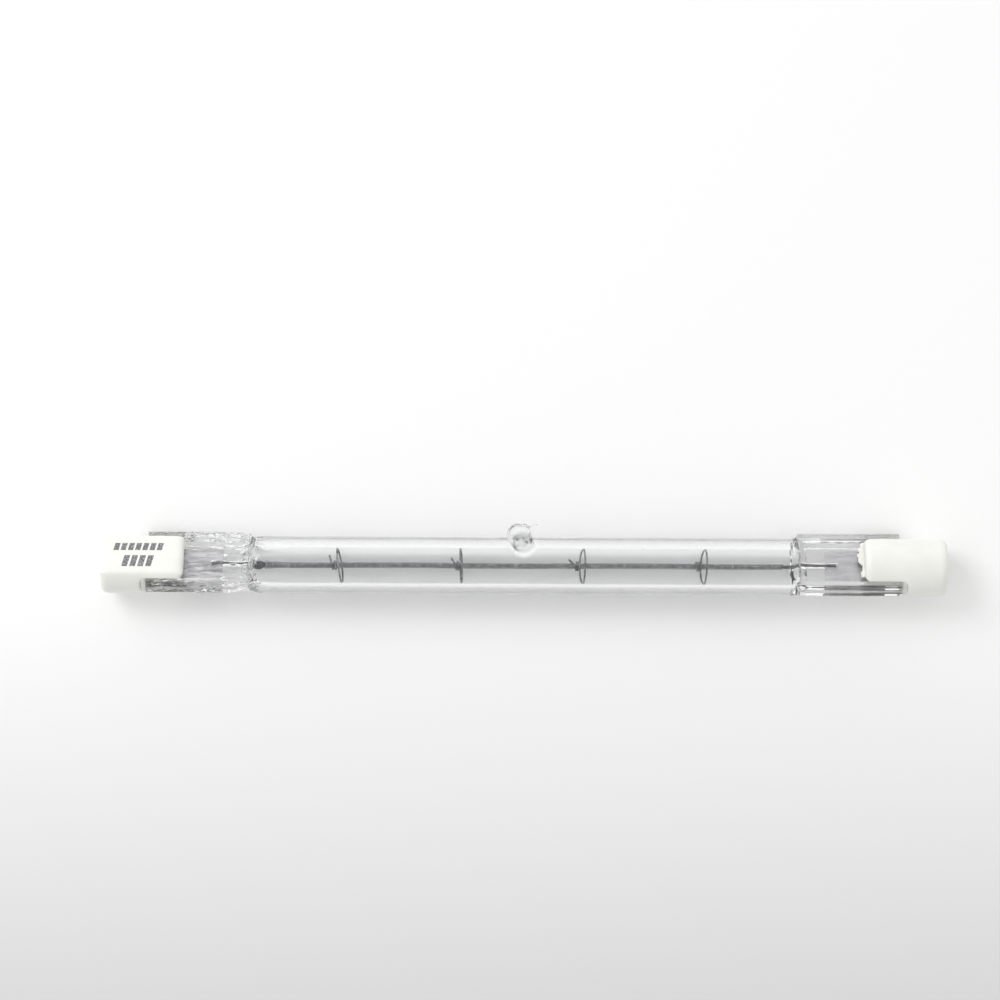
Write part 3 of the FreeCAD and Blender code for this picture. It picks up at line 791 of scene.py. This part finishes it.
def makeCavity():
    bm = bmesh.new()
    half = cavityProfile()
    profile = [(-station, across, out) for station, across, out in reversed(half)] + half[1:]
    turn = Matrix.Rotation(math.pi / 2, 4, "Y")
    clock = bm.verts.layers.float.new("clock")
    first = bmesh.ops.create_circle(
        bm, cap_ends=True, segments=cavity["segments"], radius=1.0, matrix=turn)
    for vert in first["verts"]:
        vert[clock] = math.atan2(vert.co.z, vert.co.y)
    edges = list(bm.edges)
    ring = first["verts"]
    for number, (station, across, out) in enumerate(profile):
        if number:
            result = bmesh.ops.extrude_edge_only(bm, edges=edges)
            edges = newEdges(result)
            ring = newVerts(result)
        for vert in ring:
            angle = vert[clock]
            wave = 1 + cavityWave(station, angle)
            vert.co = Vector((station, across * wave * math.cos(angle), out * wave * math.sin(angle)))
    bmesh.ops.contextual_create(bm, geom=edges)
    bmesh.ops.recalc_face_normals(bm, faces=bm.faces)
    bmesh.ops.reverse_faces(bm, faces=bm.faces)  # the glass lies outside this wall
    return bm


def makeEnvelope():
    skin = makeSkin()
    hollow = makeCavity()
    inner = bpy.data.meshes.new("cavityWall")
    hollow.to_mesh(inner)
    hollow.free()
    skin.from_mesh(inner)
    bpy.data.meshes.remove(inner)
    addPiece("envelope_glass", skin, lampTurn, quartz, "quartz_envelope", 55)


makeEnvelope()
print("envelope made")


def wireMesh(points, radius, thickness=None, resolution=2, kind="NURBS"):
    # A bent wire along a smooth line through listed and worked-out stations
    curve = bpy.data.curves.new("wireLine", "CURVE")
    curve.dimensions = "3D"
    curve.resolution_u = 4
    curve.bevel_depth = radius
    curve.bevel_resolution = resolution
    curve.use_fill_caps = True
    spline = curve.splines.new(kind)
    spline.points.add(len(points) - 1)
    for number, point in enumerate(points):
        spline.points[number].co = (*point, 1)
        spline.points[number].radius = thickness[number] if thickness else 1.0
    spline.order_u = 3
    spline.use_endpoint_u = True
    holder = bpy.data.objects.new("wireLine", curve)
    scene.collection.objects.link(holder)
    bm = evaluated(holder)
    bpy.data.objects.remove(holder)
    bpy.data.curves.remove(curve)
    bmesh.ops.remove_doubles(bm, verts=bm.verts, dist=mergeGap)
    bmesh.ops.recalc_face_normals(bm, faces=bm.faces)
    return bm


# Filament: a close helix, slack by a hair between its supports

filament = {
    "wireRadius": 0.11,
    "pitch": 0.29,
    "stepsPerTurn": 14,
    "sag": 0.05,
    "rise": 0.6,  # share of the sag by which every other stretch bends back
}
supports = {
    "endGap": 10.7,  # from each end of the filament to its first support
    "shift": -0.3,
    "wireRadius": 0.125,
    "hubRadius": 0.585,
    "hubLength": 0.9,
    "ringRadius": 2.365,
    "ringSweep": 346,
    "clocks": (66, 40, 188, 197),
    "hubTurns": (2, 2, 3, 3),  # full turns before the wire leaves for its ring, less the support's own turn
    "tilts": (8.8, 3.0, 8.4, 8.6),
    "tailAngles": (18, 29, 46, 10),
    "tailLengths": (1.45, 1.25, 1.3, 0.7),
    "tailStops": (1, 0.6, 0.25),
    "spokeStops": (0.15, 0.5, 0.85, 0.97),
    "hubSteps": 14,  # to a turn
    "ringSteps": 48,
}
supportSpacing = 2 * (lamp["coilEnd"] - supports["endGap"]) / 3
supportStations = [supports["shift"] + supportSpacing * (number - 1.5) for number in range(4)]


def bow(station):
    stops = [-lamp["coilEnd"], *supportStations, lamp["coilEnd"]]
    for left, right in zip(stops, stops[1:]):
        if left <= station <= right:
            share = (station - left) / (right - left)
            return math.sin(math.pi * share) * (1 if stops.index(left) % 2 else -filament["rise"])
    return 0.0


def makeFilament():
    wire = filament["wireRadius"]
    middle = lamp["coilRadius"] - wire
    length = 2 * (lamp["coilEnd"] - wire)
    turns = round(length / filament["pitch"])
    steps = turns * filament["stepsPerTurn"]
    points = []
    for step in range(steps + 1):
        turn = 2 * math.pi * step / filament["stepsPerTurn"]
        station = length * (step / steps - 0.5)
        sag = filament["sag"] * bow(station)
        points.append(Vector((station, middle * math.cos(turn) + sag, middle * math.sin(turn))))
    bm = wireMesh(points, wire, resolution=1, kind="POLY")
    addPiece("filament_winding", bm, onFloor, metals["tungsten"], "filament_coil", 60)


makeFilament()
print("filament wound")


def supportLine(number):
    # One bent wire: free tail, open turns about the filament, spoke and ring
    tilt = math.radians(supports["tilts"][number])
    clock = math.radians(supports["clocks"][number])
    radius, hub = supports["ringRadius"], supports["hubRadius"]
    back = radius * math.sin(tilt)
    hubRun = supports["hubLength"] - 2 * supports["wireRadius"]
    tailAngle = math.radians(supports["tailAngles"][number])
    upright = Matrix.Rotation(clock, 3, "X")  # the tail lies over the top, however the support is turned
    start = Vector((-back - hubRun, 0, 0)) + upright @ Vector((0, 0, hub))
    tail = upright @ Vector((-math.sin(tailAngle), math.cos(tailAngle), 0)) * supports["tailLengths"][number]
    points = [start + tail * share for share in supports["tailStops"]]
    sweep = supports["hubTurns"][number] * 2 * math.pi - clock
    turnSteps = round(sweep / (2 * math.pi / supports["hubSteps"]))
    for step in range(turnSteps + 1):
        turn = math.pi / 2 + clock + sweep * step / turnSteps
        along = hubRun * (step / turnSteps - 1) - back
        points.append(Vector((along, hub * math.cos(turn), hub * math.sin(turn))))
    out = radius * math.cos(tilt)
    points += [Vector((-back, 0, mix(hub, out, share))) for share in supports["spokeStops"]]
    outward = Vector((-math.sin(tilt), 0, math.cos(tilt)))
    across = Vector((0, 1, 0))
    for step in range(1, supports["ringSteps"] + 1):
        turn = math.radians(supports["ringSweep"]) * step / supports["ringSteps"]
        points.append(radius * (math.cos(turn) * outward + math.sin(turn) * across))
    return points


def makeSupports():
    for number, station in enumerate(supportStations):
        bm = wireMesh(supportLine(number), supports["wireRadius"])
        clock = Matrix.Rotation(-math.radians(supports["clocks"][number]), 4, "X")
        turn = Matrix.Translation((station, 0, lamp["axisHeight"])) @ clock
        name = f"support_wire_{number + 1}"
        addPiece(name, bm, turn, metals["support"], f"filament_support_{number + 1}", 60)


makeSupports()
print("supports bent")

# Leads and foils of the two seals

leads = {  # steps across and out of a lead on its way from the filament to the foil
    "radius": 0.25,
    "left": [(0, 0), (0, 0), (0.03, 0.02), (-0.05, 0.05), (-0.02, 0.02), (0.06, 0.0), (-0.18, -0.02)],
    "right": [(0, 0), (0, 0), (-0.03, 0.02), (0.06, 0.03), (0.0, 0.05), (-0.04, 0.0), (0.0, 0.0)],
    "thickness": {"left": (0.8, 0.8, 1.2, 1.3, 1.1, 1.1, 1.2), "right": (0.8, 0.8, 1.3, 1.5, 1.3, 1.2, 1.6)},
    "outer": [(0, 0), (0.4, 0.01), (1, 0)],  # share of its length, bend
}


def makeLeads(side):
    low, high = nodeBox("inner_lead_right")
    shifts = leads[side]
    points = []
    for number, (across, out) in enumerate(shifts):
        points.append(Vector((mix(low.x, high.x, number / (len(shifts) - 1)), across, out)))
    bm = wireMesh(points, leads["radius"], leads["thickness"][side], 3)
    addPiece(f"inner_lead_wire_{side}", bm, endTurns[side], metals["lead"], f"inner_lead_{side}")
    low, high = nodeBox("outer_lead_right")
    points = [Vector((mix(low.x, high.x, share), bend, 0)) for share, bend in leads["outer"]]
    bm = wireMesh(points, leads["radius"], resolution=3)
    addPiece(f"outer_lead_wire_{side}", bm, endTurns[side], metals["lead"], f"outer_lead_{side}")


foil = {
    "halfWidth": 2.55,
    "thickness": 0.03,
    "columns": 70,
    "rows": 44,
    "wrinkle": {"left": 0.14, "right": 0.015},
    "level": -0.28,  # under the leads at both ends
    "wave": (0.3, 1.8, 3.0),  # along, across and seed
    "fine": (0.9, 4.2, 9.0),
    "fineShare": 0.4,
}


def makeFoil(side):
    low, high = nodeBox("seal_foil_right")
    middle = (low.x + high.x) / 2
    bm = bmesh.new()
    size = Matrix.Diagonal(((high.x - low.x) / 2, foil["halfWidth"], 1, 1))
    bmesh.ops.create_grid(
        bm, x_segments=foil["columns"], y_segments=foil["rows"], size=1,
        matrix=Matrix.Translation((middle, 0, foil["level"] * (1 if side == "right" else -1))) @ size)
    depth = foil["wrinkle"][side]
    for vert in bm.verts:
        wave, fine = (
            noise.noise(Vector((vert.co.x * along, vert.co.y * across, seed)))
            for along, across, seed in (foil["wave"], foil["fine"])
        )
        vert.co.z += depth * (wave + foil["fineShare"] * fine)
    bmesh.ops.recalc_face_normals(bm, faces=bm.faces)
    bmesh.ops.solidify(bm, geom=bm.faces[:], thickness=foil["thickness"])
    addPiece(f"foil_strip_{side}", bm, endTurns[side], metals["foil"], f"seal_foil_{side}")


# Ceramic caps, their cement and contacts

squareGap = 0.01  # an edge that runs less than this along an axis stands square to it


def meshOf(bm, name):
    mesh = bpy.data.meshes.new(name)
    bm.to_mesh(mesh)
    bm.free()
    holder = bpy.data.objects.new(name, mesh)
    scene.collection.objects.link(holder)
    return holder


def softSkin(holder, cutters, sizes):
    # One skin over the cut block in small even steps, with its edges rubbed soft
    remesh = holder.modifiers.new("soften", "REMESH")
    remesh.mode = "VOXEL"
    remesh.voxel_size = sizes["voxel"]
    bm = evaluated(holder)
    for used in (holder, *cutters):
        mesh = used.data
        bpy.data.objects.remove(used)
        bpy.data.meshes.remove(mesh)
    for _ in range(sizes["smoothing"]):
        bmesh.ops.smooth_vert(
            bm, verts=bm.verts, factor=0.5, use_axis_x=True, use_axis_y=True, use_axis_z=True)
    return bm


def roundEdges(bm, edges, offset, steps):
    bmesh.ops.bevel(
        bm, geom=edges, offset=offset, segments=steps, profile=0.5, affect="EDGES", material=-1)


def runAlong(edge, axis):
    return abs(edge.verts[0].co[axis] - edge.verts[1].co[axis])


def capBlock():
    bm = bmesh.new()
    turn = Matrix.Translation((lamp["capInner"], 0, 0)) @ Matrix.Rotation(math.pi / 2, 4, "Y")
    bmesh.ops.create_circle(bm, cap_ends=True, segments=cap["segments"], radius=cap["radius"], matrix=turn)
    below = Vector((0, 0, -cap["flat"]))
    bmesh.ops.bisect_plane(
        bm, geom=bm.verts[:] + bm.edges[:] + bm.faces[:], plane_co=below, plane_no=(0, 0, -1), clear_outer=True)
    result = bmesh.ops.extrude_face_region(bm, geom=bm.faces[:])
    bmesh.ops.translate(bm, verts=newVerts(result), vec=(lamp["capOuter"] - lamp["capInner"], 0, 0))
    bmesh.ops.holes_fill(bm, edges=bm.edges[:], sides=0)
    bmesh.ops.recalc_face_normals(bm, faces=bm.faces)
    sharp = [edge for edge in bm.edges if edge.is_manifold and edge.calc_face_angle() > math.radians(30)]
    long = [edge for edge in sharp if runAlong(edge, 0) > 1]
    roundEdges(bm, long, cap["flatRound"], cap["flatRoundSteps"])
    ends = [
        edge for edge in bm.edges
        if edge.is_manifold and edge.calc_face_angle() > math.radians(60) and runAlong(edge, 0) < squareGap
    ]
    roundEdges(bm, ends, cap["round"], cap["roundSteps"])
    bmesh.ops.triangulate(bm, faces=bm.faces)
    return bm


def slotCutter():
    bm = bmesh.new()
    start, stop = lamp["capInner"] - 2, lamp["capInner"] + cap["slotDepth"]  # well out of the mouth and the sides
    bmesh.ops.create_cube(bm, size=1)
    bmesh.ops.scale(bm, vec=(stop - start, cap["radius"] * 3, cap["slotHalf"] * 2), verts=bm.verts)
    bmesh.ops.translate(bm, vec=((start + stop) / 2, 0, 0), verts=bm.verts)
    closed = [
        edge for edge in bm.edges
        if all(abs(vert.co.x - stop) < squareGap for vert in edge.verts) and runAlong(edge, 2) < squareGap
    ]
    roundEdges(bm, closed, cap["slotRound"], cap["slotRoundSteps"])
    return bm


def lathe(profile, segments):
    # A profile of (station, radius) pairs turned about the lamp's axis
    bm = bmesh.new()
    verts = [bm.verts.new((station, 0, radius)) for station, radius in profile]
    edges = [bm.edges.new(pair) for pair in zip(verts, verts[1:])]
    bmesh.ops.spin(
        bm, geom=verts + edges, cent=(0, 0, 0), axis=(1, 0, 0), angle=2 * math.pi,
        steps=segments, use_merge=True)
    bmesh.ops.remove_doubles(bm, verts=bm.verts, dist=mergeGap)
    bmesh.ops.recalc_face_normals(bm, faces=bm.faces)
    return bm


contact = {
    "head": 1.5,
    "headHeight": 0.5,
    "shank": 0.9,
    "hole": 0.92,
    "edge": 0.12,
    "dome": 0.06,
    "segments": 48,
}


def recessCutter():
    low, high = nodeBox("contact_right")
    floor, seat, hole = high.x, high.x - contact["headHeight"], contact["hole"]
    outside = lamp["capOuter"] + 1
    return lathe([
        (low.x, 0), (low.x, hole), (seat, hole), (seat, cap["seat"]), (floor, cap["seat"]),
        (floor, cap["recess"]), (outside, cap["recess"]), (outside, 0),
    ], contact["segments"])


def makeCap(side):
    block = meshOf(capBlock(), "capBlock")
    cutters = [meshOf(slotCutter(), "slotCutter"), meshOf(recessCutter(), "recessCutter")]
    for cutter in cutters:
        cut = block.modifiers.new(cutter.name, "BOOLEAN")
        cut.operation = "DIFFERENCE"
        cut.object = cutter
        cut.solver = "MANIFOLD"
    bm = softSkin(block, cutters, cap)
    bmesh.ops.recalc_face_normals(bm, faces=bm.faces)
    addPiece(f"cap_{side}", bm, endTurns[side], ceramic, f"ceramic_cap_{side}", 75)


cement = {
    "voxel": 0.1,
    "smoothing": 4,
    "gap": 0.03,
    "bedWidth": 7.3,  # fills the closed end of the slot from side to side
    "sideGap": 0.3,
    "endGap": 0.3,
    "lump": {"left": -0.75, "right": 0.0},  # how far the edge came out of the cap
    "seed": {"left": 11.0, "right": 47.0},
    "lip": 2.2,  # length over which the edge is uneven
    "back": 0.45,  # and how far all of it stays back
    "wave": (0.55, 0.9),  # scale across and depth
    "fine": (1.9, 0.3),
}


def makeCement(side):
    low, high = nodeBox("cement_right")
    bm = bmesh.new()
    gap = cement["gap"]
    thick = cap["slotHalf"] - seal["webHalf"] - 2 * gap
    middle = (cap["slotHalf"] + seal["webHalf"]) / 2
    fill = seal["hollowHalf"] * 2 - cement["sideGap"]
    parts = [  # first and last station, place across and out, width and height
        (low.x, high.x - cement["endGap"], seal["shift"], middle, fill, thick),
        (low.x, high.x - cement["endGap"], seal["shift"], -middle, fill, thick),
        (lamp["pinchEnd"] + gap, high.x, 0, 0, cement["bedWidth"], 2 * cap["slotHalf"] - 2 * gap),
    ]
    for start, stop, across, level, width, height in parts:
        place = Matrix.Translation(((start + stop) / 2, across, level))
        size = Matrix.Diagonal((stop - start, width, height, 1))
        bmesh.ops.create_cube(bm, size=1, matrix=place @ size)
    bm = softSkin(meshOf(bm, "cementBlock"), [], cement)
    seed = cement["seed"][side]
    (waveScale, waveDepth), (fineScale, fineDepth) = cement["wave"], cement["fine"]
    for vert in bm.verts:
        lip = 1 - smoothStep(low.x, low.x + cement["lip"], vert.co.x)
        wave = noise.noise(Vector((vert.co.y * waveScale, seed, vert.co.z)))
        fine = noise.noise(Vector((vert.co.y * fineScale, seed + 5, vert.co.z * 2)))
        vert.co.x += lip * (cement["back"] - cement["lump"][side] + waveDepth * wave + fineDepth * fine)
    bmesh.ops.recalc_face_normals(bm, faces=bm.faces)
    addPiece(f"cement_bead_{side}", bm, endTurns[side], cementWhite, f"cement_{side}", 75)


def makeContact(side):
    low, high = nodeBox("contact_right")
    head, shank, seat = contact["head"], contact["shank"], high.x - contact["headHeight"]
    edge, dome = contact["edge"], contact["dome"]
    bm = lathe([
        (low.x, 0), (low.x, shank - edge), (low.x + edge, shank), (seat, shank), (seat, head),
        (high.x - edge - dome, head), (high.x - dome, head - edge),
        (high.x - dome * 0.3, head * 0.5), (high.x, 0),
    ], contact["segments"])
    name = f"contact_button_{side}"
    addPiece(name, bm, endTurns[side], metals["contact"], f"contact_{side}", 35)


for side in endTurns:
    makeLeads(side)
    makeFoil(side)
    makeCap(side)
    makeCement(side)
    makeContact(side)
    print(side, "end made")

# Stage: pale floor with painted shade darkening it towards the front, soft light from behind on the left, camera
# straight above

stage = {
    "floorSize": 3.0,
    "floorTop": (1.0, 1.0, 1.0),
    # painted shade: the floor's colour at the lower edge of the picture, darker where the light falls off
    "floorPaintedShade": (0.73, 0.73, 0.73),
    "floorPaintedShadeFade": (-0.06, -0.004),  # painted shade, from the lower edge of the picture to the lamp: the floor's colour stands in for the light falling off towards the front
    "skyFront": 0.56,  # the room is brighter behind the lamp, to the left, than in front of it
    "skyBack": 1.04,
    "skyTurn": -38,  # degrees
    "keyPower": 1.6,
    "keySize": 0.35,
    "keyPlace": (-0.42, 0.34, 0.5),
}


def makeFloor():
    bm = bmesh.new()
    bmesh.ops.create_grid(bm, x_segments=1, y_segments=1, size=stage["floorSize"] / 2)
    mesh = bpy.data.meshes.new("floor")
    bm.to_mesh(mesh)
    bm.free()
    floor = bpy.data.objects.new("floor", mesh)
    scene.collection.objects.link(floor)
    material, tree, shader, place = newMaterial("paleFloorWithPaintedShade", Roughness=0.9, Specular_IOR_Level=0.1)
    # painted shade: the floor's colour darkens towards the front, standing in for the light falling off there
    paintedShadeShare = ramp(tree, axes(tree, place)["Y"], stage["floorPaintedShadeFade"])
    colour = colourMix(tree, paintedShadeShare, stage["floorPaintedShade"], stage["floorTop"])
    tree.links.new(colour, shader.inputs["Base Color"])
    mesh.materials.append(material)


def makeWorld():
    world = bpy.data.worlds.new("paleRoom")
    world.use_nodes = True
    scene.world = world
    tree = world.node_tree
    background = tree.nodes["Background"]
    background.inputs["Color"].default_value = (1, 1, 1, 1)
    path = tree.nodes.new("ShaderNodeLightPath")
    seen = path.outputs["Is Camera Ray"]
    for ray in ("Is Glossy Ray", "Is Transmission Ray"):
        seen = mathNode(tree, "MAXIMUM", seen, path.outputs[ray])
    outward = tree.nodes.new("ShaderNodeTexCoord").outputs["Generated"]
    turned = stretched(tree, outward, (1, 1, 1), (0, 0, math.radians(stage["skyTurn"])))
    sky = ramp(tree, axes(tree, turned)["Y"], (-1.0, 1.0), (stage["skyFront"], stage["skyBack"]))
    strength = addNode(tree, "ShaderNodeMapRange", To_Max=1.0)  # plain white where the room itself is seen
    tree.links.new(seen, strength.inputs["Value"])
    tree.links.new(sky, strength.inputs["To Min"])
    tree.links.new(strength.outputs["Result"], background.inputs["Strength"])


def makeLight():
    light = bpy.data.lights.new("window", "AREA")
    light.energy = stage["keyPower"]
    light.size = stage["keySize"]
    holder = bpy.data.objects.new("window", light)
    holder.location = stage["keyPlace"]
    aim = Vector((0, 0, 0)) - Vector(stage["keyPlace"])
    holder.rotation_euler = aim.to_track_quat("-Z", "Y").to_euler()
    scene.collection.objects.link(holder)


view = {
    "pixelsPerMillimetre": 7.185,  # at the lamp's axis
    "distance": 600.0,
    "lampRight": 24.0,  # pixels from the middle of the picture
    "lampBelow": 66.0,
    "turn": 0.26,
    "frame": 1000,
}


def makeCamera():
    camera = bpy.data.cameras.new("camera")
    width = view["frame"] / view["pixelsPerMillimetre"]
    camera.sensor_width = 36.0
    camera.lens = camera.sensor_width * view["distance"] / width
    camera.clip_start = 0.01
    holder = bpy.data.objects.new("camera", camera)
    across = -view["lampRight"] / view["pixelsPerMillimetre"]
    up = view["lampBelow"] / view["pixelsPerMillimetre"]
    turn = math.radians(view["turn"])
    spot = Matrix.Rotation(turn, 3, "Z") @ Vector((across, up, 0))
    spot.z = lamp["axisHeight"] + view["distance"]
    holder.location = spot * millimetre
    holder.rotation_euler = (0, 0, turn)
    scene.collection.objects.link(holder)
    scene.camera = holder


makeFloor()
makeWorld()
makeLight()
makeCamera()
print("stage set")
